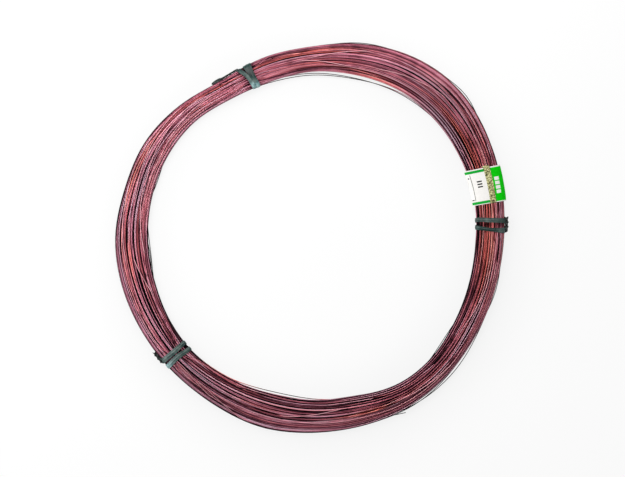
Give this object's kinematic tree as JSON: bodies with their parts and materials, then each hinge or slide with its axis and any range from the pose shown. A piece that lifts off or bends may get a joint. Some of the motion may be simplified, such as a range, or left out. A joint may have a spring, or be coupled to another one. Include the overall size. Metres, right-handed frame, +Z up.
{
  "type": "coil of copper wire",
  "caption": "Flat-lying coil of fine bare copper wire in one loose bundle, held by plastic twist ties, with a paper label band taped round it.",
  "frame": {"origin": "on the floor under the middle of the coil's outline, seen from above", "axes": "+Z up along the coil's axis; +X towards the tie beside the label; +Y a quarter turn anticlockwise from +X"},
  "size_m": [0.3783, 0.3745, 0.0108],
  "materials": {
    "copper_wire": "dull, tarnished drawn copper",
    "tie_plastic": "satin",
    "label_paper": "coated paper",
    "label_tape": "glossy film"
  },
  "bodies": {
    "root": {"wire_coil": "copper_wire", "tie_upper_left": "tie_plastic", "tie_right": "tie_plastic", "tie_lower_left": "tie_plastic", "label": "label_paper", "label_tape": "label_tape"}
  },
  "joints": []
}
